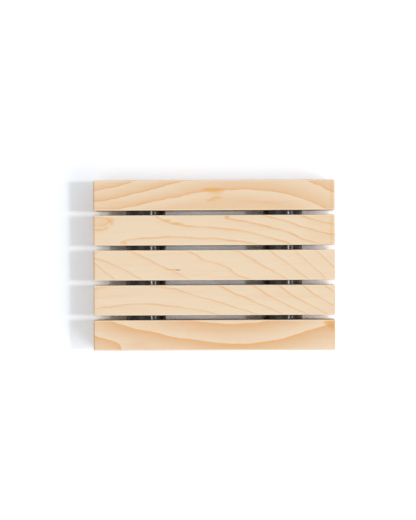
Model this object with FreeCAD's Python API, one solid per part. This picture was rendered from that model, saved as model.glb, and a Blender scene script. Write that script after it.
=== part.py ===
# Slatted soap dish: maple slats held apart by rubber discs and clamped by two hidden tie rods.
# Millimetres. +X runs along the slats, +Y from front to rear and +Z up.
# The origin lies on the counter, under the middle of the dish.
import FreeCAD, Part
import math
import os

from FreeCAD import Vector

# Slats, named from front to rear.
SLAT_NAMES = ("front_slat", "front_inner_slat", "middle_slat", "rear_inner_slat", "rear_slat")
SLAT_LENGTH = 127.0
SLAT_WIDTH = 15.9
SLAT_THICKNESS = 19.0
SLAT_EDGE_ROUND = 0.5

# Rubber discs: spacers between the slats that also stand below them as feet.
DISC_THICKNESS = 2.5
DISC_FOOT_HEIGHT = 2.5
DISC_RECESS = 0.5
DISC_RIM_ROUND = 0.3
DISC_BORE_CLEARANCE = 0.1

# Tie rods: threaded rod, one near each end of the slats.
ROD_DIAMETER = 4.0
ROD_END_INSET = 27.25
ROD_HOLE_CLEARANCE = 0.25
ROD_PAST_NUT = 1.0
ROD_END_CHAMFER = 0.5

# Hex nuts and flat washers.
NUT_SIDES = 6
NUT_ACROSS_FLATS = 7.0
NUT_HEIGHT = 3.2
NUT_CHAMFER = 0.4
NUT_THREAD_CLEARANCE = 0.05
WASHER_DIAMETER = 9.0
WASHER_THICKNESS = 0.8
WASHER_BORE_CLEARANCE = 0.15

# Counterbores in the two outer slats, and the plugs that close them.
COUNTERBORE_CLEARANCE = 0.5
PLUG_LENGTH = 4.5
PLUG_AIR_GAP = 0.5
PLUG_GLUE_GAP = 0.05
PLUG_LEAD_CHAMFER = 0.4

# A rounded edge takes at most this share of the wall that carries it.
ROUND_LIMIT_SHARE = 0.45

# Cuts run this far past the faces that they open.
OVERRUN = 1.0

# Places along the width, worked out from the stack of slats and discs.
slat_pitch = SLAT_WIDTH + DISC_THICKNESS
stack_width = len(SLAT_NAMES) * slat_pitch - DISC_THICKNESS
outer_face_y = stack_width / 2
counterbore_depth = PLUG_LENGTH + PLUG_AIR_GAP + ROD_PAST_NUT + NUT_HEIGHT + WASHER_THICKNESS
washer_seat_y = outer_face_y - counterbore_depth
nut_seat_y = washer_seat_y + WASHER_THICKNESS
rod_end_y = nut_seat_y + NUT_HEIGHT + ROD_PAST_NUT
plug_inner_y = outer_face_y - PLUG_LENGTH

# Heights: the discs touch the counter and end just below the slat tops.
slat_top_z = DISC_FOOT_HEIGHT + SLAT_THICKNESS
disc_radius = (slat_top_z - DISC_RECESS) / 2
rod_z = disc_radius

# Radii around each rod.
rod_radius = ROD_DIAMETER / 2
nut_corner_radius = NUT_ACROSS_FLATS / 2 / math.cos(math.pi / NUT_SIDES)
counterbore_radius = max(WASHER_DIAMETER / 2, nut_corner_radius) + COUNTERBORE_CLEARANCE
plug_radius = counterbore_radius - PLUG_GLUE_GAP

rod_x = SLAT_LENGTH / 2 - ROD_END_INSET
rod_lines = {"left": -rod_x, "right": rod_x}
stack_ends = {"front": -1, "rear": 1}


def round_bar(radius, x, first_y, last_y):
    """A cylinder about a rod's line, between two places across the dish."""
    low_y = min(first_y, last_y)
    length = abs(last_y - first_y)
    return Part.makeCylinder(radius, length, Vector(x, low_y, rod_z), Vector(0, 1, 0))


def rim_edges(bar):
    """The round edges at the two ends of a bar."""
    return [edge for edge in bar.Edges if edge.Closed]


def slat_front_y(index):
    """The front face of a slat, counted from the front of the dish."""
    return index * slat_pitch - outer_face_y


def outer_sides(index):
    """The ends of the stack that a slat closes: one for each outer slat, none for the others."""
    end_slats = {"front": 0, "rear": len(SLAT_NAMES) - 1}
    return [side for end, side in stack_ends.items() if end_slats[end] == index]


def make_slat(index):
    """One slat with eased edges, drilled for both rods and, on the outside, counterbored."""
    front_y = slat_front_y(index)
    rear_y = front_y + SLAT_WIDTH
    corner = Vector(-SLAT_LENGTH / 2, front_y, DISC_FOOT_HEIGHT)
    slat = Part.makeBox(SLAT_LENGTH, SLAT_WIDTH, SLAT_THICKNESS, corner)
    edge_round = min(SLAT_EDGE_ROUND, ROUND_LIMIT_SHARE * min(SLAT_WIDTH, SLAT_THICKNESS))
    slat = slat.makeFillet(edge_round, slat.Edges)
    for x in rod_lines.values():
        hole = round_bar(rod_radius + ROD_HOLE_CLEARANCE, x, front_y - OVERRUN, rear_y + OVERRUN)
        slat = slat.cut(hole)
        for side in outer_sides(index):
            mouth_y = side * (outer_face_y + OVERRUN)
            slat = slat.cut(round_bar(counterbore_radius, x, side * washer_seat_y, mouth_y))
    return slat.Solids[0]


def make_disc(index, x):
    """One rubber disc, in the gap behind the slat of that number."""
    front_y = slat_front_y(index) + SLAT_WIDTH
    rear_y = front_y + DISC_THICKNESS
    disc = round_bar(disc_radius, x, front_y, rear_y)
    rim_round = min(DISC_RIM_ROUND, ROUND_LIMIT_SHARE * DISC_THICKNESS)
    disc = disc.makeFillet(rim_round, rim_edges(disc))
    bore = round_bar(rod_radius + DISC_BORE_CLEARANCE, x, front_y - OVERRUN, rear_y + OVERRUN)
    return disc.cut(bore).Solids[0]


def make_rod(x):
    """One tie rod from end to end of the stack, chamfered to start the nuts."""
    rod = round_bar(rod_radius, x, -rod_end_y, rod_end_y)
    return rod.makeChamfer(ROD_END_CHAMFER, rim_edges(rod))


def make_washer(x, side):
    """One flat washer on the floor of a counterbore."""
    ring = round_bar(WASHER_DIAMETER / 2, x, side * washer_seat_y, side * nut_seat_y)
    bore_radius = rod_radius + WASHER_BORE_CLEARANCE
    inner_y = side * (washer_seat_y - OVERRUN)
    outer_y = side * (nut_seat_y + OVERRUN)
    return ring.cut(round_bar(bore_radius, x, inner_y, outer_y)).Solids[0]


def make_nut(x, side):
    """One hex nut on its washer, with the corners chamfered at both faces."""
    outer_y = nut_seat_y + NUT_HEIGHT
    low_y = min(side * nut_seat_y, side * outer_y)
    corners = []
    for step in range(NUT_SIDES + 1):
        angle = 2 * math.pi * step / NUT_SIDES
        across = nut_corner_radius * math.cos(angle)
        up = nut_corner_radius * math.sin(angle)
        corners.append(Vector(x + across, low_y, rod_z + up))
    prism = Part.Face(Part.makePolygon(corners)).extrude(Vector(0, NUT_HEIGHT, 0))
    turned = round_bar(nut_corner_radius, x, side * nut_seat_y, side * outer_y)
    turned = turned.makeChamfer(NUT_CHAMFER, rim_edges(turned))
    bore_radius = rod_radius + NUT_THREAD_CLEARANCE
    bore = round_bar(bore_radius, x, side * (nut_seat_y - OVERRUN), side * (outer_y + OVERRUN))
    return prism.common(turned).cut(bore).Solids[0]


def make_plug(x, side):
    """One plug, flush with the slat's outer face, with a lead-in at its hidden end."""
    plug = round_bar(plug_radius, x, side * plug_inner_y, side * outer_face_y)
    hidden_rim = min(rim_edges(plug), key=lambda edge: abs(edge.CenterOfMass.y))
    return plug.makeChamfer(PLUG_LEAD_CHAMFER, [hidden_rim])


def make_dish():
    """Every piece of the dish, by name."""
    pieces = {}
    for index, name in enumerate(SLAT_NAMES):
        pieces[name] = make_slat(index)
    for line, x in rod_lines.items():
        for index in range(len(SLAT_NAMES) - 1):
            pieces[f"{line}_disc_{index + 1}"] = make_disc(index, x)
        pieces[f"{line}_tie_rod"] = make_rod(x)
        for end, side in stack_ends.items():
            pieces[f"{line}_{end}_washer"] = make_washer(x, side)
            pieces[f"{line}_{end}_nut"] = make_nut(x, side)
            pieces[f"{line}_{end}_plug"] = make_plug(x, side)
    return pieces


os.makedirs("parts", exist_ok=True)
for piece_name, piece in make_dish().items():
    piece.exportStep(f"parts/{piece_name}.step")
    print(f"{piece_name}: {piece.Volume:.1f} mm3, valid {piece.isValid()}")
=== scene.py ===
"""Looks of a slatted soap dish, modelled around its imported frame.

Five maple slats stand side by side. Eight rubber discs space them and stand below them as feet.
Two threaded tie rods clamp the stack. Their nuts and washers sit in counterbores under maple plugs.
Meshes are in metres. Finishes work in millimetres from the middle of their own piece.
"""

import logging
import math
from dataclasses import dataclass
from enum import Enum
from typing import Sequence, Union

import bmesh
import bpy
from mathutils import Matrix, Vector


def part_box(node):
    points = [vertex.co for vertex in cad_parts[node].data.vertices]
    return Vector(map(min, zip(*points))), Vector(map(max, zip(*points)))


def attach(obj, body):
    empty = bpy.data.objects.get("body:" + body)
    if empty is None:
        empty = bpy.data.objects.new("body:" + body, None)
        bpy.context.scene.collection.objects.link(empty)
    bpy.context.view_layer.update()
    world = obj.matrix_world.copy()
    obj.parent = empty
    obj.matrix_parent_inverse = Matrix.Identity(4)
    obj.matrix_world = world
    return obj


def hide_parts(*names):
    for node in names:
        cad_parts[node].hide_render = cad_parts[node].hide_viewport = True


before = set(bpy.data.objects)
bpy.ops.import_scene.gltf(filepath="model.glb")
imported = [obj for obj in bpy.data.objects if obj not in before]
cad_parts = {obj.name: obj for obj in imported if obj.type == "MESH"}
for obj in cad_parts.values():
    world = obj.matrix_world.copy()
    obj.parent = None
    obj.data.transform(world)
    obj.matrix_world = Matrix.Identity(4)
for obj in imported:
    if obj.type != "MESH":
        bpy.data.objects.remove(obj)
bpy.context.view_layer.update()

LOG = logging.getLogger("soap_dish")
BODY = "root"
MILLIMETRE = 0.001

# Points nearer than this, in metres, count as one point.
WELD = 1e-7

# Angles, in degrees, from which an edge stays sharp.
TURNED_CREASE = 30.0
EASED_CREASE = 40.0

Colour = tuple[float, float, float]
Number = Union[float, "Field"]
Tint = Union[Colour, bpy.types.NodeSocket]


class Slot(Enum):
    """The record's material slots."""

    MAPLE = "maple"
    RUBBER = "black_rubber"
    STEEL = "stainless_steel"


class Line(Enum):
    """The two lines of discs, each with its tie rod."""

    LEFT = "left"
    RIGHT = "right"


class End(Enum):
    """The two ends of the stack of slats, by the sign of Y."""

    FRONT = -1
    REAR = 1

    @property
    def word(self) -> str:
        """The end's name as the nodes spell it."""
        return self.name.lower()


class Cloud(Enum):
    """Kinds of clouds: features for each millimetre along, across and up, and octaves of finer ones."""

    RAGGED_RIM = ((0.35, 0.9, 0.9), 1.0)
    RING_STRAY = ((0.1, 0.22, 0.22), 3.0)
    LINE_FADE = ((0.06, 0.1, 0.1), 1.0)
    WOOD_FIBRE = ((0.05, 2.6, 2.6), 3.0)
    WOOD_FLECK = ((0.4, 3.2, 3.2), 1.0)
    WOOD_CLOUD = ((0.02, 0.3, 0.3), 3.0)
    RUBBER_DUST = ((0.25, 0.25, 0.25), 3.0)
    RUBBER_GRAIN = ((5.0, 5.0, 5.0), 2.0)
    RUBBER_STREAK = ((1.6, 0.25, 0.4), 2.0)
    STEEL_STAIN = ((0.3, 0.3, 0.3), 4.0)
    STEEL_SCRATCH = ((9.0, 0.8, 9.0), 2.0)


class Field:
    """A value that varies over a surface. Its arithmetic adds nodes."""

    def __init__(self, shader: "Shader", socket: bpy.types.NodeSocket) -> None:
        """Hold one output of a node.

        Args:
            shader: the material that the node belongs to.
            socket: the output.
        """
        self.shader = shader
        self.socket = socket

    def __add__(self, other: Number) -> "Field":
        """The sum."""
        return self.shader.math("ADD", self, other)

    def __sub__(self, other: Number) -> "Field":
        """The difference."""
        return self.shader.math("SUBTRACT", self, other)

    def __mul__(self, other: Number) -> "Field":
        """The product."""
        return self.shader.math("MULTIPLY", self, other)

    def __truediv__(self, other: Number) -> "Field":
        """The quotient."""
        return self.shader.math("DIVIDE", self, other)

    def __pow__(self, other: Number) -> "Field":
        """The power."""
        return self.shader.math("POWER", self, other)

    def __abs__(self) -> "Field":
        """The size without its sign."""
        return self.shader.math("ABSOLUTE", self)

    def at_most(self, other: Number) -> "Field":
        """The lesser of two values."""
        return self.shader.math("MINIMUM", self, other)

    def at_least(self, other: Number) -> "Field":
        """The greater of two values."""
        return self.shader.math("MAXIMUM", self, other)

    def fraction(self) -> "Field":
        """What is left above the whole number below."""
        return self.shader.math("FRACT", self)

    def ramp(self, low: float, high: float, start: float = 0.0, end: float = 1.0) -> "Field":
        """A smooth step between two values.

        Args:
            low: where the step begins.
            high: where it is done.
            start: what it gives before low.
            end: what it gives after high.

        Returns:
            The stepped value.
        """
        node = self.shader.node("ShaderNodeMapRange", interpolation_type="SMOOTHSTEP")
        self.shader.feed(node.inputs["Value"], self)
        node.inputs["From Min"].default_value = low
        node.inputs["From Max"].default_value = high
        node.inputs["To Min"].default_value = start
        node.inputs["To Max"].default_value = end
        return Field(self.shader, node.outputs["Result"])


class Shader:
    """A material under construction, with its place in millimetres at hand."""

    def __init__(self, name: str, middle: Vector) -> None:
        """Start a material.

        Args:
            name: the material's name.
            middle: the point, in metres, that its millimetres are counted from.
        """
        self.material = bpy.data.materials.new(name)
        self.material.use_nodes = True
        self.tree = self.material.node_tree
        self.tree.nodes.clear()
        self.place = self.node("ShaderNodeTexCoord")
        mapping = self.node("ShaderNodeMapping")
        mapping.inputs["Scale"].default_value = Vector.Fill(3, 1.0 / MILLIMETRE)
        mapping.inputs["Location"].default_value = -middle / MILLIMETRE
        self.tree.links.new(self.place.outputs["Object"], mapping.inputs["Vector"])
        self.millimetres = mapping.outputs["Vector"]
        self.along, self.across, self.up = self.parts(self.millimetres)

    def node(self, kind: str, **settings: object) -> bpy.types.Node:
        """Add a node.

        Args:
            kind: the node's type.
            settings: the properties to set on it.

        Returns:
            The new node.
        """
        node = self.tree.nodes.new(kind)
        for name, value in settings.items():
            setattr(node, name, value)
        return node

    def feed(self, socket: bpy.types.NodeSocket, value: Number) -> None:
        """Link a varying value to an input, or write a plain number there."""
        if isinstance(value, Field):
            self.tree.links.new(value.socket, socket)
        else:
            socket.default_value = value

    def math(self, operation: str, *values: Number) -> Field:
        """Work out one step of arithmetic.

        Args:
            operation: the Math node's operation.
            values: what it works on.

        Returns:
            The outcome.
        """
        node = self.node("ShaderNodeMath", operation=operation)
        for socket, value in zip(node.inputs, values):
            self.feed(socket, value)
        return Field(self, node.outputs["Value"])

    def parts(self, vector: bpy.types.NodeSocket) -> tuple[Field, Field, Field]:
        """Take a vector apart into its three values."""
        node = self.node("ShaderNodeSeparateXYZ")
        self.tree.links.new(vector, node.inputs["Vector"])
        return tuple(Field(self, output) for output in node.outputs)

    def normal(self) -> tuple[Field, Field, Field]:
        """The direction that the surface faces, on the piece's own axes."""
        return self.parts(self.place.outputs["Normal"])

    def noise(self, cloud: Cloud, seed: float) -> Field:
        """A cloudy value about one half.

        Args:
            cloud: the kind of clouds.
            seed: the place in the clouds.

        Returns:
            The value, mostly from 0.25 to 0.75.
        """
        stretch, detail = cloud.value
        mapping = self.node("ShaderNodeMapping")
        mapping.inputs["Scale"].default_value = stretch
        mapping.inputs["Location"].default_value = (seed, seed * 1.7, seed * 0.6)
        self.tree.links.new(self.millimetres, mapping.inputs["Vector"])
        noise = self.node("ShaderNodeTexNoise")
        noise.inputs["Scale"].default_value = 1.0
        noise.inputs["Detail"].default_value = detail
        self.tree.links.new(mapping.outputs["Vector"], noise.inputs["Vector"])
        return Field(self, noise.outputs["Fac"])

    def blend(self, share: Field, first: Tint, second: Tint) -> bpy.types.NodeSocket:
        """Mix two colours.

        Args:
            share: how much of the second shows, from 0 to 1.
            first: a colour, or a socket that carries one.
            second: the same.

        Returns:
            The socket that carries the mixed colour.
        """
        node = self.node("ShaderNodeMix", data_type="RGBA", clamp_factor=True)
        self.feed(node.inputs[0], share)
        for socket, tint in ((node.inputs[6], first), (node.inputs[7], second)):
            if isinstance(tint, bpy.types.NodeSocket):
                self.tree.links.new(tint, socket)
            else:
                socket.default_value = (*tint, 1.0)
        return node.outputs[2]

    def surface(self, tint: bpy.types.NodeSocket, roughness: Field, height: Field,
                depth_mm: float, **plain: float) -> bpy.types.Material:
        """Close the material with one shader.

        Args:
            tint: the socket that carries the colour.
            roughness: the roughness over the surface.
            height: the relief, from 0 to 1.
            depth_mm: how deep that relief is.
            plain: numbers for the shader's other inputs, with _ for a space in their names.

        Returns:
            The finished material.
        """
        bump = self.node("ShaderNodeBump")
        bump.inputs["Distance"].default_value = depth_mm * MILLIMETRE
        self.feed(bump.inputs["Height"], height)
        skin = self.node("ShaderNodeBsdfPrincipled")
        self.tree.links.new(tint, skin.inputs["Base Color"])
        self.feed(skin.inputs["Roughness"], roughness)
        self.tree.links.new(bump.outputs["Normal"], skin.inputs["Normal"])
        for name, value in plain.items():
            skin.inputs[name.replace("_", " ")].default_value = value
        output = self.node("ShaderNodeOutputMaterial")
        self.tree.links.new(skin.outputs["BSDF"], output.inputs["Surface"])
        return self.material


@dataclass(frozen=True)
class Patch:
    """A small patch of the wood, in millimetres from the middle of the slat's top.

    Attributes:
        along: its place along the slat.
        across: its place across the slat.
        half_length: half its length.
        half_width: half its width.
        strength: how dark it is, or by how many rings it lifts the grain.
        raggedness: how uneven its rim is.
    """

    along: float
    across: float
    half_length: float
    half_width: float
    strength: float
    raggedness: float = 1.2

    def away(self, shader: Shader) -> Field:
        """The square of the way from the patch's middle, 1 at its rim."""
        length = (shader.along - self.along) / self.half_length
        width = (shader.across - self.across) / self.half_width
        depth = shader.up / self.half_length
        ragged = (shader.noise(Cloud.RAGGED_RIM, self.along) - 0.5) * self.raggedness
        return length * length + width * width + depth * depth + ragged

    def spot(self, shader: Shader) -> Field:
        """Its strength at the middle, fading to nothing past its rim."""
        return self.away(shader).ramp(0.0, 1.8, self.strength, 0.0)

    def rim(self, shader: Shader) -> Field:
        """Its strength along the rim, most at the right, and nothing inside or outside."""
        away = self.away(shader)
        tip = ((shader.along - self.along) / self.half_length).ramp(0.1, 0.9, 0.7, 1.0)
        return away.ramp(0.5, 0.95, 0.0, self.strength) * away.ramp(1.0, 1.35, 1.0, 0.0) * tip


@dataclass(frozen=True)
class Figure:
    """How the year rings run in one piece of maple, in millimetres from the middle of its top.

    A course or a spread is a row of factors: the value at the middle, then what is added at the
    right end by each power of the way there, which is -1 at the left end and 1 at the right.

    Attributes:
        bark: the side that lay towards the bark, where each ring ends in a dark line.
        course: where one ring's end runs across the piece.
        spread: how wide the rings are.
        first: how many rings show on the front side of that course, at most.
        last: how many rings show on its rear side, at most.
        lean: how far the rings move across for each millimetre up.
        shade: how much a ring darkens on its way to the bark.
        edge: the strength of the dark line at a ring's end.
        trail: how far that line fades back into the ring.
        seed: the place in the clouds that make the rings wander.
        curl: how much a ring's end bends on its way across the piece.
        warmth: how much amber the wood has all over.
        stains: darker patches.
        flaws: small brown marks.
        eddies: patches where the rings are lifted from their course.
        loops: patches that a ring runs round.
    """

    bark: End
    course: tuple[float, ...]
    spread: tuple[float, ...]
    first: float
    last: float
    lean: float
    shade: float
    edge: float
    trail: float
    seed: float
    curl: float = 0.0
    warmth: float = 0.0
    stains: tuple[Patch, ...] = ()
    flaws: tuple[Patch, ...] = ()
    eddies: tuple[Patch, ...] = ()
    loops: tuple[Patch, ...] = ()


REAR_FIGURE = Figure(
    bark=End.FRONT, course=(2.5, 8.0, -12.2, -9.0), spread=(8.5, 3.1), first=0.7, last=2.9,
    lean=0.45, shade=0.78, edge=0.95, trail=1.0, seed=1.3, warmth=0.04,
    stains=(Patch(-0.5, 2.8, 6.0, 1.0, 0.95), Patch(1.5, -1.4, 3.2, 0.8, 0.6),
            Patch(-1.6, -2.7, 2.4, 0.6, 0.6), Patch(1.0, 1.6, 4.0, 1.5, 0.4),
            Patch(61.8, 0.0, 0.7, 12.0, 0.3, 0.3)),
    eddies=(Patch(34.0, 4.5, 30.0, 6.0, 0.07, 0.0),))
REAR_INNER_FIGURE = Figure(
    bark=End.REAR, course=(1.5, -7.5, 0.0, -19.7, -3.8, 16.3), spread=(5.8, -3.8, 8.6, -5.1),
    first=9.0, last=9.0, lean=-0.3, shade=0.15, edge=0.9, trail=1.2, seed=4.1,
    stains=(Patch(-24.7, 5.2, 2.6, 0.6, 0.6), Patch(-19.5, 3.5, 3.0, 0.6, 0.7),
            Patch(7.0, 7.2, 1.6, 0.7, 0.6), Patch(-53.8, 4.9, 1.4, 2.0, 0.5),
            Patch(-60.5, 0.4, 3.0, 0.7, 0.5), Patch(-47.0, -6.9, 1.2, 1.0, 0.5),
            Patch(61.8, 0.0, 0.7, 12.0, 0.3, 0.3),
            Patch(-61.0, 3.5, 8.0, 5.0, 0.16, 0.6), Patch(60.0, 1.0, 12.0, 9.0, 0.12, 0.6)),
    eddies=(Patch(-1.0, 8.5, 9.0, 3.0, -0.4, 0.0), Patch(-54.2, -7.7, 4.5, 4.0, 0.2, 0.0),
            Patch(-14.5, 3.4, 11.0, 4.0, 0.13, 0.0), Patch(-35.0, 7.5, 7.0, 4.0, -0.12, 0.0),
            Patch(49.0, -5.5, 9.0, 3.5, 0.12, 0.0)),
    loops=(Patch(-63.5, 4.9, 8.8, 2.3, 0.8, 0.5), Patch(-63.5, 4.6, 6.2, 1.2, 0.4, 0.5),
           Patch(-63.5, 1.3, 7.4, 1.3, 0.7, 0.5)))
MIDDLE_FIGURE = Figure(
    bark=End.REAR, course=(0.5, -28.9, 12.2, 0.9, -33.3), spread=(13.2, -7.7, -6.4, 12.7),
    first=3.4, last=9.0, lean=0.5, shade=0.12, edge=0.6, trail=1.5, seed=7.7, curl=-0.01,
    stains=(Patch(-21.4, -2.3, 3.6, 0.36, 0.8),), flaws=(Patch(-18.9, -2.6, 1.5, 0.3, 1.0, 0.6),),
    eddies=(Patch(4.0, 0.5, 8.0, 5.0, -0.1, 0.0), Patch(17.0, -6.0, 7.0, 4.0, 0.06, 0.0),
            Patch(17.0, 5.0, 8.0, 4.0, -0.06, 0.0)))
FRONT_INNER_FIGURE = Figure(
    bark=End.REAR, course=(-7.7, -16.9, -12.1, -0.8, -2.7), spread=(7.6, -2.4, 1.0, 1.1),
    first=9.0, last=9.0, lean=-0.4, shade=0.12, edge=0.82, trail=1.0, seed=9.2, curl=-0.02)
FRONT_FIGURE = Figure(
    bark=End.REAR, course=(-4.0, -6.8, 12.7, 12.6, 0.6, -8.9), spread=(10.1, 1.0, 3.0), first=9.0, last=9.0,
    lean=0.35, shade=1.1, edge=1.3, trail=1.3, seed=12.6, warmth=0.02,
    stains=(Patch(61.6, 6.4, 4.2, 1.5, 1.0), Patch(63.5, 3.4, 2.6, 1.9, 0.9),
            Patch(10.0, -8.2, 26.0, 2.4, 0.25, 0.6)),
    flaws=(Patch(61.8, 4.7, 2.6, 1.0, 0.35, 0.6),),
    eddies=(Patch(-41.0, -8.5, 9.0, 5.0, 0.3, 0.0), Patch(-56.5, -4.5, 5.5, 3.5, -0.12, 0.0)))
PLUG_FIGURE = Figure(
    bark=End.REAR, course=(0.0, -8.0, 20.0), spread=(4.6, 0.0), first=9.0, last=9.0,
    lean=1.0, shade=0.3, edge=0.7, trail=0.8, seed=15.8)


@dataclass(frozen=True)
class Maple:
    """Sanded and oiled maple.

    Attributes:
        figure: how the rings run.
        pale: the colour of early wood.
        amber: the colour that a ring deepens to.
        late: the colour of the line at a ring's end.
        ochre: the colour of stains.
        brown: the colour of flaws.
        end: the colour of end grain.
        sanded: the colour of a painted highlight along its rounded long edges, paler wood standing in for
            light caught there.
        half_length: half the length that the figure is drawn for, in millimetres.
        half_width: half the width of a slat, in millimetres.
        wander: how far rings stray, in millimetres.
        fleck_share: how much of a line's colour the flecks take.
        fibre_share: how much amber the fibres take.
        burnish_share: how much of a line's colour shows next to the ends.
        end_share: how much of its own colour the end grain takes.
        edge_highlight_share: how much of the painted edge highlight colour the rounded long edges take.
        relief_mm: the depth of the grain.
        gloss: the shader's specular level.
    """

    figure: Figure
    pale: Colour = (0.908, 0.738, 0.538)
    amber: Colour = (0.815, 0.502, 0.268)
    late: Colour = (0.850, 0.475, 0.200)
    ochre: Colour = (0.830, 0.450, 0.135)
    brown: Colour = (0.520, 0.270, 0.140)
    end: Colour = (0.640, 0.410, 0.220)
    sanded: Colour = (1.000, 0.800, 0.570)
    half_length: float = 63.5
    half_width: float = 7.95
    wander: float = 2.0
    fleck_share: float = 0.26
    fibre_share: float = 0.2
    burnish_share: float = 0.25
    end_share: float = 0.45
    edge_highlight_share: float = 0.7
    relief_mm: float = 0.05
    gloss: float = 0.35

    def series(self, shader: Shader, factors: Sequence[float]) -> Field:
        """Work out a course or a spread along the piece.

        Args:
            shader: the material under construction.
            factors: the factor of each power of the way along, from the power of 0.

        Returns:
            The value, in millimetres.
        """
        way = shader.along / self.half_length
        total = way * factors[-1] + factors[-2]
        for factor in reversed(factors[:-2]):
            total = total * way + factor
        return total

    def rings(self, shader: Shader) -> tuple[Field, Field]:
        """Follow the rings through the piece.

        Args:
            shader: the material under construction.

        Returns:
            The age within a ring, from 0 to 1 at its end, and the ring's width in millimetres.
        """
        figure = self.figure
        width = self.series(shader, figure.spread)
        stray = (shader.noise(Cloud.RING_STRAY, figure.seed) - 0.5) * self.wander
        across = shader.across + shader.across * shader.across * figure.curl + shader.up * figure.lean
        rings = (across + stray - self.series(shader, figure.course)) / width
        for eddy in figure.eddies:
            rings = rings + eddy.spot(shader)
        rings = rings.at_least(-figure.first).at_most(figure.last)
        return (rings * float(figure.bark.value)).fraction(), width

    def line(self, shader: Shader, age: Field, width: Field) -> Field:
        """The dark line at each ring's end and round each loop.

        Args:
            shader: the material under construction.
            age: the age within a ring.
            width: the ring's width in millimetres.

        Returns:
            The line's strength.
        """
        figure = self.figure
        before = ((age * -1.0 + 1.0) * width).ramp(0.0, figure.trail, 1.0, 0.0)
        after = (age * width).ramp(0.0, 0.35, 1.0, 0.0)
        line = before.at_least(after)
        for loop in figure.loops:
            line = line.at_least(loop.rim(shader))
        fade = shader.noise(Cloud.LINE_FADE, figure.seed + 11.0).ramp(0.3, 0.6, 0.55, 1.0)
        return line * fade * figure.edge

    def material(self, name: str, middle: Vector) -> bpy.types.Material:
        """Make the material for one piece.

        Args:
            name: the material's name.
            middle: the middle of the piece's top, in metres.

        Returns:
            The material.
        """
        figure = self.figure
        shader = Shader(name, middle)
        age, width = self.rings(shader)
        line = self.line(shader, age, width)
        fibres = shader.noise(Cloud.WOOD_FIBRE, figure.seed + 5.0)
        flecks = shader.noise(Cloud.WOOD_FLECK, figure.seed + 8.0).ramp(0.64, 0.76)
        cloud = shader.noise(Cloud.WOOD_CLOUD, figure.seed + 3.0).ramp(0.5, 0.8, 0.0, 0.2)
        facing = [abs(part) for part in shader.normal()]
        ends = facing[0].ramp(0.15, 0.95)
        brink = abs(shader.across) * -1.0 + self.half_width
        # Mask of the painted edge highlight: the upward-facing rounding along each long edge.
        edges = brink.ramp(0.0, 0.2) * brink.ramp(0.45, 0.8, 1.0, 0.0) * facing[2].ramp(0.3, 0.7)
        reach = abs(shader.along) * -1.0 + self.half_length
        burnish = reach.ramp(0.0, 0.3) * reach.ramp(0.6, 1.2, 1.0, 0.0)
        tint = shader.blend((age ** 1.3) * figure.shade + cloud + figure.warmth, self.pale, self.amber)
        tint = shader.blend(line, tint, self.late)
        for stain in figure.stains:
            tint = shader.blend(stain.spot(shader), tint, self.ochre)
        for flaw in figure.flaws:
            tint = shader.blend(flaw.spot(shader), tint, self.brown)
        tint = shader.blend(flecks * self.fleck_share, tint, self.late)
        tint = shader.blend(fibres.ramp(0.35, 0.75) * self.fibre_share, tint, self.amber)
        tint = shader.blend(burnish * self.burnish_share, tint, self.late)
        tint = shader.blend(ends * self.end_share, tint, self.end)
        # Painted highlight: the rounded long edges are lightened towards a pale colour in place of light
        # catching them.
        tint = shader.blend(edges * self.edge_highlight_share, tint, self.sanded)
        roughness = fibres * 0.2 + line * 0.1 + 0.4
        height = fibres * 0.7 - flecks * 0.3 - line * 0.3
        return shader.surface(tint, roughness, height, self.relief_mm, Specular_IOR_Level=self.gloss)


@dataclass(frozen=True)
class Rubber:
    """Black moulded rubber.

    Attributes:
        black: its colour.
        dust: the colour where it is rubbed dull.
        relief_mm: the depth of its texture.
        gloss: the shader's specular level.
    """

    black: Colour = (0.009, 0.008, 0.007)
    dust: Colour = (0.018, 0.016, 0.015)
    relief_mm: float = 0.0006
    gloss: float = 0.23

    def material(self, name: str, middle: Vector, seed: float) -> bpy.types.Material:
        """Make the material for one disc.

        Args:
            name: the material's name.
            middle: the disc's middle, in metres.
            seed: the place in the clouds.

        Returns:
            The material.
        """
        shader = Shader(name, middle)
        cloud = shader.noise(Cloud.RUBBER_DUST, seed)
        grain = shader.noise(Cloud.RUBBER_GRAIN, seed + 4.0)
        streak = shader.noise(Cloud.RUBBER_STREAK, seed + 7.0)
        tint = shader.blend(cloud.ramp(0.4, 0.75), self.black, self.dust)
        roughness = streak * 0.08 + grain * 0.04 + 0.12
        height = grain * 0.3 + streak * 0.7
        return shader.surface(tint, roughness, height, self.relief_mm, Specular_IOR_Level=self.gloss)


@dataclass(frozen=True)
class Steel:
    """Plain stainless steel, drawn and turned.

    Attributes:
        bright: its colour.
        dull: the colour in its stains.
        relief_mm: the depth of its scratches.
    """

    bright: Colour = (0.62, 0.62, 0.63)
    dull: Colour = (0.45, 0.44, 0.43)
    relief_mm: float = 0.008

    def material(self, name: str, middle: Vector) -> bpy.types.Material:
        """Make the material.

        Args:
            name: the material's name.
            middle: the point, in metres, that its pattern is counted from.

        Returns:
            The material.
        """
        shader = Shader(name, middle)
        cloud = shader.noise(Cloud.STEEL_STAIN, 2.0)
        scratch = shader.noise(Cloud.STEEL_SCRATCH, 6.0)
        tint = shader.blend(cloud.ramp(0.45, 0.8), self.bright, self.dull)
        roughness = scratch * 0.18 + cloud * 0.1 + 0.16
        return shader.surface(tint, roughness, scratch, self.relief_mm, Metallic=1.0)


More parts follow.
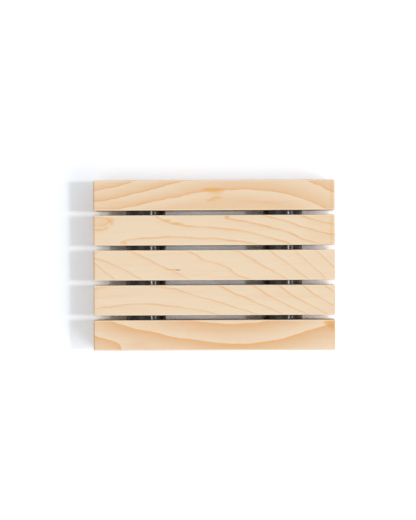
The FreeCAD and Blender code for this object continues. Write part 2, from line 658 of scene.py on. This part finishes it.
def lathe(profile: Sequence[tuple[float, float]], x: float, z: float, steps: int,
          closed: bool) -> bmesh.types.BMesh:
    """Turn a profile about a line along Y.

    Args:
        profile: points as (radius, y).
        x: the line's place along X.
        z: the line's height.
        steps: the facets round the line.
        closed: whether the last point joins the first.

    Returns:
        The turned mesh, closed and facing outwards.
    """
    mesh = bmesh.new()
    points = [mesh.verts.new((x + radius, y, z)) for radius, y in profile]
    edges = [mesh.edges.new(pair) for pair in zip(points, points[1:])]
    if closed:
        edges.append(mesh.edges.new((points[-1], points[0])))
    bmesh.ops.spin(mesh, geom=points + edges, cent=(x, 0.0, z), axis=(0.0, 1.0, 0.0),
                   angle=math.tau, steps=steps, use_merge=True)
    bmesh.ops.remove_doubles(mesh, verts=mesh.verts, dist=WELD)
    bmesh.ops.recalc_face_normals(mesh, faces=mesh.faces)
    return mesh


def link(mesh: bmesh.types.BMesh, name: str) -> bpy.types.Object:
    """Make an object of a mesh and put it in the scene."""
    data = bpy.data.meshes.new(name)
    mesh.to_mesh(data)
    mesh.free()
    thing = bpy.data.objects.new(name, data)
    bpy.context.scene.collection.objects.link(thing)
    return thing


def carve(piece: bpy.types.Object, cutters: Sequence[bpy.types.Object]) -> None:
    """Cut holes in a piece and remove the cutters.

    Args:
        piece: the object to cut.
        cutters: closed objects in the shape of the holes.
    """
    for cutter in cutters:
        cut = piece.modifiers.new("hole", "BOOLEAN")
        cut.operation = "DIFFERENCE"
        cut.solver = "EXACT"
        cut.object = cutter
    graph = bpy.context.evaluated_depsgraph_get()
    whole = piece.data
    piece.data = bpy.data.meshes.new_from_object(piece.evaluated_get(graph))
    piece.modifiers.clear()
    bpy.data.meshes.remove(whole)
    for cutter in cutters:
        bpy.data.meshes.remove(cutter.data)


def shade(piece: bpy.types.Object, crease: float) -> None:
    """Smooth a piece's rounded edges and keep its flats flat.

    Args:
        piece: the object.
        crease: the angle, in degrees, from which an edge stays sharp.
    """
    piece.data.shade_smooth()
    piece.data.set_sharp_from_angle(angle=math.radians(crease))
    weigh = piece.modifiers.new("flats", "WEIGHTED_NORMAL")
    weigh.keep_sharp = True


def show(piece: bpy.types.Object, node: str, finish: bpy.types.Material) -> None:
    """Put a finished piece in the place of its CAD node.

    Args:
        piece: the object.
        node: the node that it stands for.
        finish: its material.
    """
    piece.data.materials.clear()
    piece.data.materials.append(finish)
    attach(piece, BODY)
    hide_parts(node)
    LOG.info("%s stands for %s, %d faces", piece.name, node, len(piece.data.polygons))


@dataclass
class TieRod:
    """One threaded rod, with the nut and the washer at each of its ends.

    Attributes:
        line: the rod's line.
        thread_pitch: the thread's advance in one turn.
        thread_depth: its depth.
        end_chamfer: the chamfer at the rod's ends.
        turn_steps: the facets in one turn.
        hole_clearance: the room between the rod and its holes.
        thread_weld: how near points of two turns lie that are one point.
    """

    line: Line
    thread_pitch: float = 0.0007
    thread_depth: float = 0.00038
    end_chamfer: float = 0.0005
    turn_steps: int = 20
    hole_clearance: float = 0.00025
    thread_weld: float = 1e-6

    def __post_init__(self) -> None:
        """Read the rod's place from the frame."""
        low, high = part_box(f"{self.line.value}_tie_rod")
        middle = (low + high) / 2
        self.x = middle.x
        self.z = middle.z
        self.radius = (high.z - low.z) / 2
        self.half_length = high.y

    def hole_radius(self) -> float:
        """The radius of the rod's hole through a slat."""
        return self.radius + self.hole_clearance

    def seat(self, end: End) -> float:
        """The place across the dish of the washer's seat."""
        low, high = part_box(f"{self.line.value}_{end.word}_washer")
        return high.y if end is End.FRONT else low.y

    def thread(self) -> bmesh.types.BMesh:
        """Wind one flank of thread along the rod, then cut it to length.

        Returns:
            The rod's mesh.
        """
        crest = self.thread_pitch / 8
        root = self.thread_pitch / 4
        flank = (self.thread_pitch - crest - root) / 2
        inner = self.radius - self.thread_depth
        start = -self.half_length - self.thread_pitch
        turns = math.ceil(2 * self.half_length / self.thread_pitch) + 2
        steps = turns * self.turn_steps
        mesh = bmesh.new()
        outline = ((inner, 0.0), (inner, root), (self.radius, root + flank),
                   (self.radius, root + flank + crest), (inner, self.thread_pitch))
        points = [mesh.verts.new((self.x + radius, start + y, self.z)) for radius, y in outline]
        edges = [mesh.edges.new(pair) for pair in zip(points, points[1:])]
        advance = (0.0, self.thread_pitch / self.turn_steps, 0.0)
        bmesh.ops.spin(mesh, geom=points + edges, cent=(self.x, 0.0, self.z), axis=(0.0, 1.0, 0.0),
                       dvec=advance, angle=math.tau * turns, steps=steps)
        bmesh.ops.remove_doubles(mesh, verts=mesh.verts, dist=self.thread_weld)
        for end in End:
            bmesh.ops.bisect_plane(mesh, geom=mesh.verts[:] + mesh.edges[:] + mesh.faces[:], dist=WELD,
                                   plane_co=(0.0, end.value * self.half_length, 0.0),
                                   plane_no=(0.0, end.value, 0.0), clear_outer=True)
        self.chamfer(mesh)
        rims = [edge for edge in mesh.edges if edge.is_boundary]
        bmesh.ops.holes_fill(mesh, edges=rims, sides=0)
        bmesh.ops.recalc_face_normals(mesh, faces=mesh.faces)
        return mesh

    def chamfer(self, mesh: bmesh.types.BMesh) -> None:
        """Draw the thread in towards the rod's ends."""
        for vert in mesh.verts:
            past = abs(vert.co.y) - (self.half_length - self.end_chamfer)
            spoke = Vector((vert.co.x - self.x, 0.0, vert.co.z - self.z))
            limit = self.radius - max(past, 0.0)
            if spoke.length > limit:
                vert.co -= spoke * (1.0 - limit / spoke.length)

    def build(self, steel: bpy.types.Material) -> None:
        """Make the rod, and finish the nuts and washers that the frame holds."""
        rod = link(self.thread(), f"{self.line.value}_threaded_rod")
        shade(rod, TURNED_CREASE)
        show(rod, f"{self.line.value}_tie_rod", steel)
        for end in End:
            for part in ("nut", "washer"):
                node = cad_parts[f"{self.line.value}_{end.word}_{part}"]
                node.data.materials.clear()
                node.data.materials.append(steel)
                LOG.info("%s keeps its own shape", node.name)


@dataclass
class Plug:
    """One maple plug over a nut.

    Attributes:
        line: the rod's line.
        end: the end of the stack.
        lead_chamfer: the chamfer at its hidden end.
        rim_ease: the rounding of its visible rim.
        glue_gap: the room between the plug and its counterbore.
        steps: the facets round it.
    """

    line: Line
    end: End
    lead_chamfer: float = 0.0004
    rim_ease: float = 0.0001
    glue_gap: float = 0.00005
    steps: int = 64

    def __post_init__(self) -> None:
        """Read the plug's place from the frame."""
        self.node = f"{self.line.value}_{self.end.word}_plug"
        low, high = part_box(self.node)
        self.middle = (low + high) / 2
        self.radius = (high.z - low.z) / 2
        faces = (high.y, low.y) if self.end is End.FRONT else (low.y, high.y)
        self.hidden, self.shown = faces

    def counterbore_radius(self) -> float:
        """The radius of the hole that the plug closes."""
        return self.radius + self.glue_gap

    def build(self) -> None:
        """Turn the plug and dress it."""
        side = float(self.end.value)
        profile = ((0.0, self.hidden), (self.radius - self.lead_chamfer, self.hidden),
                   (self.radius, self.hidden + side * self.lead_chamfer),
                   (self.radius, self.shown - side * self.rim_ease),
                   (self.radius - self.rim_ease, self.shown), (0.0, self.shown))
        mesh = lathe(profile, self.middle.x, self.middle.z, self.steps, closed=False)
        plug = link(mesh, f"{self.node}_wood")
        shade(plug, TURNED_CREASE)
        finish = Maple(PLUG_FIGURE).material(f"{self.node}_maple", self.middle)
        show(plug, self.node, finish)


@dataclass
class Slat:
    """One maple slat, drilled for both rods.

    Attributes:
        node: the CAD node that it stands for.
        figure: how its rings run.
        end_round: the rounding of the edges round its two ends, above and below.
        long_round: the rounding of its long edges.
        corner_round: the rounding of its upright corners.
        round_segments: the facets in each rounding.
        overrun: how far cuts run past the faces that they open.
        steps: the facets round a hole.
    """

    node: str
    figure: Figure
    end_round: float = 0.0009
    long_round: float = 0.0005
    corner_round: float = 0.00035
    round_segments: int = 5
    overrun: float = 0.001
    steps: int = 64

    def __post_init__(self) -> None:
        """Read the slat's place from the frame."""
        self.low, self.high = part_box(self.node)

    def board(self) -> bpy.types.Object:
        """The slat before drilling."""
        mesh = bmesh.new()
        bmesh.ops.create_cube(mesh, size=1.0)
        bmesh.ops.scale(mesh, vec=self.high - self.low, verts=mesh.verts)
        bmesh.ops.translate(mesh, vec=(self.low + self.high) / 2, verts=mesh.verts)
        weights = mesh.edges.layers.float.new("bevel_weight_edge")
        for edge in mesh.edges:
            way = edge.verts[1].co - edge.verts[0].co
            rounds = (self.long_round, self.end_round, self.corner_round)
            edge[weights] = max(zip(map(abs, way), rounds))[1] / self.end_round
        board = link(mesh, f"{self.node}_board")
        rounding = board.modifiers.new("rounding", "BEVEL")
        rounding.limit_method = "WEIGHT"
        rounding.width = self.end_round
        rounding.segments = self.round_segments
        rounding.profile = 0.5
        return board

    def cutter(self, rod: TieRod, plugs: Sequence[Plug]) -> bpy.types.Object:
        """The shape of one rod's hole, with a counterbore where a plug closes it.

        Args:
            rod: the rod.
            plugs: the plugs on that rod.

        Returns:
            The cutter.
        """
        radius = rod.hole_radius()
        first = self.low.y - self.overrun
        last = self.high.y + self.overrun
        profile = [(0.0, first), (radius, first), (radius, last), (0.0, last)]
        for plug in plugs:
            wide = plug.counterbore_radius()
            seat = rod.seat(plug.end)
            if plug.end is End.FRONT and first < plug.shown < last:
                profile[1:2] = [(wide, first), (wide, seat), (radius, seat)]
            if plug.end is End.REAR and first < plug.shown < last:
                profile[-2:-1] = [(radius, seat), (wide, seat), (wide, last)]
        return link(lathe(profile, rod.x, rod.z, self.steps, closed=False), "hole")

    def build(self, rods: Sequence[TieRod], plugs: Sequence[Plug]) -> None:
        """Cut the slat and dress it.

        Args:
            rods: the rods that run through it.
            plugs: every plug of the dish.
        """
        board = self.board()
        carve(board, [self.cutter(rod, [p for p in plugs if p.line is rod.line]) for rod in rods])
        shade(board, EASED_CREASE)
        top = Vector(((self.low.x + self.high.x) / 2, (self.low.y + self.high.y) / 2, self.high.z))
        finish = Maple(self.figure).material(f"{self.node}_maple", top)
        show(board, self.node, finish)


@dataclass
class Disc:
    """One rubber disc: spacer and foot.

    Attributes:
        line: the rod's line.
        gap: the number of its gap, from the front.
        rim_round: the rounding of its rim.
        bore_clearance: the room round the rod.
        steps: the facets round it.
        round_segments: the facets across the rounding.
        gap_seed: how far apart the clouds of neighbouring gaps lie.
        line_seed: how far the clouds of the right line lie from those of the left.
    """

    line: Line
    gap: int
    rim_round: float = 0.0003
    bore_clearance: float = 0.0001
    steps: int = 192
    round_segments: int = 4
    gap_seed: float = 3.1
    line_seed: float = 17.0

    def __post_init__(self) -> None:
        """Read the disc's place from the frame."""
        self.node = f"{self.line.value}_disc_{self.gap}"
        self.low, self.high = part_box(self.node)
        self.middle = (self.low + self.high) / 2

    def profile(self, bore: float) -> list[tuple[float, float]]:
        """Draw the outline that is turned, with a rounding at each face's rim.

        Args:
            bore: the radius of the hole for the rod.

        Returns:
            Points as (radius, y), from the front face to the rear one.
        """
        flat = (self.high.z - self.low.z) / 2 - self.rim_round
        quarter = math.pi / 2
        points = [(bore, self.low.y)]
        for centre, start in ((self.low.y + self.rim_round, -quarter), (self.high.y - self.rim_round, 0.0)):
            for step in range(self.round_segments + 1):
                angle = start + quarter * step / self.round_segments
                radius = flat + self.rim_round * math.cos(angle)
                points.append((radius, centre + self.rim_round * math.sin(angle)))
        points.append((bore, self.high.y))
        return points

    def build(self, rod: TieRod) -> None:
        """Turn the disc and dress it.

        Args:
            rod: the rod that it hangs on.
        """
        profile = self.profile(rod.radius + self.bore_clearance)
        mesh = lathe(profile, self.middle.x, self.middle.z, self.steps, closed=True)
        disc = link(mesh, f"{self.node}_moulding")
        shade(disc, EASED_CREASE)
        seed = self.gap * self.gap_seed + (0.0 if self.line is Line.LEFT else self.line_seed)
        show(disc, self.node, Rubber().material(f"{self.node}_rubber", self.middle, seed))


@dataclass
class Softbox:
    """One lamp of the studio.

    Attributes:
        name: its name.
        tilt: its angle from straight above, in degrees.
        turn: its angle from the right towards the front, in degrees.
        distance: its distance from the dish.
        width: its size round the dish.
        depth: its size from above to the side.
        watts: its power.
    """

    name: str
    tilt: float
    turn: float
    distance: float
    width: float
    depth: float
    watts: float

    def build(self) -> None:
        """Hang the lamp."""
        tilt = math.radians(self.tilt)
        turn = math.radians(self.turn)
        way = Vector((math.sin(tilt) * math.cos(turn), -math.sin(tilt) * math.sin(turn), math.cos(tilt)))
        lamp = bpy.data.lights.new(self.name, "AREA")
        lamp.shape = "RECTANGLE"
        lamp.size = self.width
        lamp.size_y = self.depth
        lamp.energy = self.watts
        holder = bpy.data.objects.new(self.name, lamp)
        holder.matrix_world = Matrix.LocRotScale(way * self.distance, way.to_track_quat("Z", "Y"), None)
        bpy.context.scene.collection.objects.link(holder)
        LOG.info("%s hangs %.0f degrees from above", self.name, self.tilt)


@dataclass
class Studio:
    """The floor, the light and the camera.

    Attributes:
        picture: the picture's width and height, in pixels.
        dish_middle: where the middle of the dish falls in it, in pixels.
        dish_length: how long the dish is in it, in pixels.
        roll: how far the dish is turned in it, in degrees against the clock.
        lean: how far to the right of straight above the camera stands, in degrees.
        focal_mm: the lens.
        sensor_mm: the longer side of the camera's sensor.
        sight: how far the camera sees.
        floor_side: the side of the floor.
        floor_tint: its colour.
        floor_lift: what the floor's colour gains as the camera sees it, to show as white.
        fill: the strength of the light from all round.
        fill_slope: how much stronger it is from the right than from above, as a share.
        lamps: the softboxes.
    """

    picture: tuple[int, int] = (416, 520)
    dish_middle: tuple[float, float] = (214.0, 265.1)
    dish_length: float = 241.6
    roll: float = 0.25
    lean: float = 1.0
    focal_mm: float = 135.0
    sensor_mm: float = 36.0
    sight: float = 40.0
    floor_side: float = 12.0
    floor_tint: Colour = (0.94, 0.94, 0.945)
    floor_lift: Colour = (0.25, 0.315, 0.39)
    fill: float = 0.50
    fill_slope: float = 0.3
    lamps: tuple[Softbox, ...] = (
        Softbox("right_lamp", 34.2, 0.0, 4.0, 0.34, 0.30, 26.0),
        Softbox("low_right_lamp", 57.0, 0.0, 4.0, 0.34, 0.28, 11.0),
        Softbox("front_softbox", 45.0, 32.0, 4.0, 2.0, 1.4, 38.0),
        Softbox("overhead_softbox", 24.0, 180.0, 2.2, 1.3, 1.3, 6.2),
    )

    def seen_white(self, tree: bpy.types.NodeTree) -> bpy.types.NodeSocket:
        """Whether a ray comes straight from the camera, from a reflection or through glass."""
        path = tree.nodes.new("ShaderNodeLightPath")
        seen = path.outputs["Is Camera Ray"]
        for kind in ("Is Glossy Ray", "Is Transmission Ray"):
            either = tree.nodes.new("ShaderNodeMath")
            either.operation = "MAXIMUM"
            tree.links.new(seen, either.inputs[0])
            tree.links.new(path.outputs[kind], either.inputs[1])
            seen = either.outputs["Value"]
        return seen

    def build_world(self) -> None:
        """Light the dish from all round, and show plain white behind it."""
        world = bpy.data.worlds.new("studio")
        bpy.context.scene.world = world
        world.use_nodes = True
        tree = world.node_tree
        tree.nodes.clear()
        light = tree.nodes.new("ShaderNodeBackground")
        way = tree.nodes.new("ShaderNodeTexCoord")
        sides = tree.nodes.new("ShaderNodeSeparateXYZ")
        tree.links.new(way.outputs["Generated"], sides.inputs["Vector"])
        strength = tree.nodes.new("ShaderNodeMath")
        strength.operation = "MULTIPLY_ADD"
        strength.inputs[1].default_value = self.fill * self.fill_slope
        strength.inputs[2].default_value = self.fill
        tree.links.new(sides.outputs["X"], strength.inputs[0])
        tree.links.new(strength.outputs["Value"], light.inputs["Strength"])
        white = tree.nodes.new("ShaderNodeBackground")
        white.inputs["Strength"].default_value = 1.0
        for background in (light, white):
            background.inputs["Color"].default_value = (1.0, 1.0, 1.0, 1.0)
        mix = tree.nodes.new("ShaderNodeMixShader")
        tree.links.new(self.seen_white(tree), mix.inputs[0])
        tree.links.new(light.outputs[0], mix.inputs[1])
        tree.links.new(white.outputs[0], mix.inputs[2])
        output = tree.nodes.new("ShaderNodeOutputWorld")
        tree.links.new(mix.outputs[0], output.inputs["Surface"])

    def build_floor(self) -> None:
        """Lay a pale floor that keeps the dish's shadow."""
        mesh = bmesh.new()
        bmesh.ops.create_grid(mesh, x_segments=1, y_segments=1, size=self.floor_side / 2)
        floor = link(mesh, "floor")
        material = bpy.data.materials.new("floor_paper")
        material.use_nodes = True
        tree = material.node_tree
        tree.nodes.clear()
        paper = tree.nodes.new("ShaderNodeBsdfDiffuse")
        paper.inputs["Color"].default_value = (*self.floor_tint, 1.0)
        lift = tree.nodes.new("ShaderNodeBsdfDiffuse")
        lift.inputs["Color"].default_value = (*self.floor_lift, 1.0)
        lifted = tree.nodes.new("ShaderNodeAddShader")
        tree.links.new(paper.outputs[0], lifted.inputs[0])
        tree.links.new(lift.outputs[0], lifted.inputs[1])
        seen = tree.nodes.new("ShaderNodeMixShader")
        tree.links.new(self.seen_white(tree), seen.inputs[0])
        tree.links.new(paper.outputs[0], seen.inputs[1])
        tree.links.new(lifted.outputs[0], seen.inputs[2])
        output = tree.nodes.new("ShaderNodeOutputMaterial")
        tree.links.new(seen.outputs[0], output.inputs["Surface"])
        floor.data.materials.append(material)

    def build_camera(self, top: float, length: float) -> None:
        """Look down, with the dish where the picture has it.

        Args:
            top: the height of the slats' tops.
            length: the length of the slats.
        """
        scale = length / self.dish_length
        right = (self.dish_middle[0] - self.picture[0] / 2) * scale
        down = (self.dish_middle[1] - self.picture[1] / 2) * scale
        distance = scale * self.picture[1] * self.focal_mm / self.sensor_mm
        turn = Matrix.Rotation(math.radians(-self.roll), 3, "Z")
        gaze = turn @ Matrix.Rotation(math.radians(self.lean), 3, "Y")
        place = turn @ Vector((-right, down, 0.0)) + gaze @ Vector((0.0, 0.0, distance))
        place.z += top
        lens = bpy.data.cameras.new("camera")
        lens.lens = self.focal_mm
        lens.sensor_width = self.sensor_mm
        lens.clip_end = self.sight
        camera = bpy.data.objects.new("camera", lens)
        camera.matrix_world = Matrix.LocRotScale(place, gaze.to_quaternion(), None)
        bpy.context.scene.collection.objects.link(camera)
        bpy.context.scene.camera = camera

    def build(self, top: float, length: float) -> None:
        """Set up the whole studio.

        Args:
            top: the height of the slats' tops.
            length: the length of the slats.
        """
        self.build_world()
        self.build_floor()
        for lamp in self.lamps:
            lamp.build()
        self.build_camera(top, length)


@dataclass
class SoapDish:
    """The whole dish.

    Attributes:
        figures: the slats, from front to rear, with their figures.
        gaps: the number of gaps between them.
    """

    figures: tuple[tuple[str, Figure], ...] = (
        ("front_slat", FRONT_FIGURE),
        ("front_inner_slat", FRONT_INNER_FIGURE),
        ("middle_slat", MIDDLE_FIGURE),
        ("rear_inner_slat", REAR_INNER_FIGURE),
        ("rear_slat", REAR_FIGURE),
    )
    gaps: int = 4

    def build(self) -> None:
        """Make every piece in its place."""
        rods = {line: TieRod(line) for line in Line}
        plugs = [Plug(line, end) for line in Line for end in End]
        steel = Steel().material("stainless_steel_finish", Vector())
        for node, figure in self.figures:
            Slat(node, figure).build(list(rods.values()), plugs)
        for line, rod in rods.items():
            for number in range(self.gaps):
                Disc(line, number + 1).build(rod)
            rod.build(steel)
        for plug in plugs:
            plug.build()


def main() -> None:
    """Build the dish and its studio."""
    logging.basicConfig(level=logging.INFO, format="%(name)s: %(message)s")
    SoapDish().build()
    low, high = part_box("middle_slat")
    Studio().build(high.z, high.x - low.x)
    bpy.context.scene.view_settings.view_transform = "Standard"


if __name__ == "__main__":
    main()
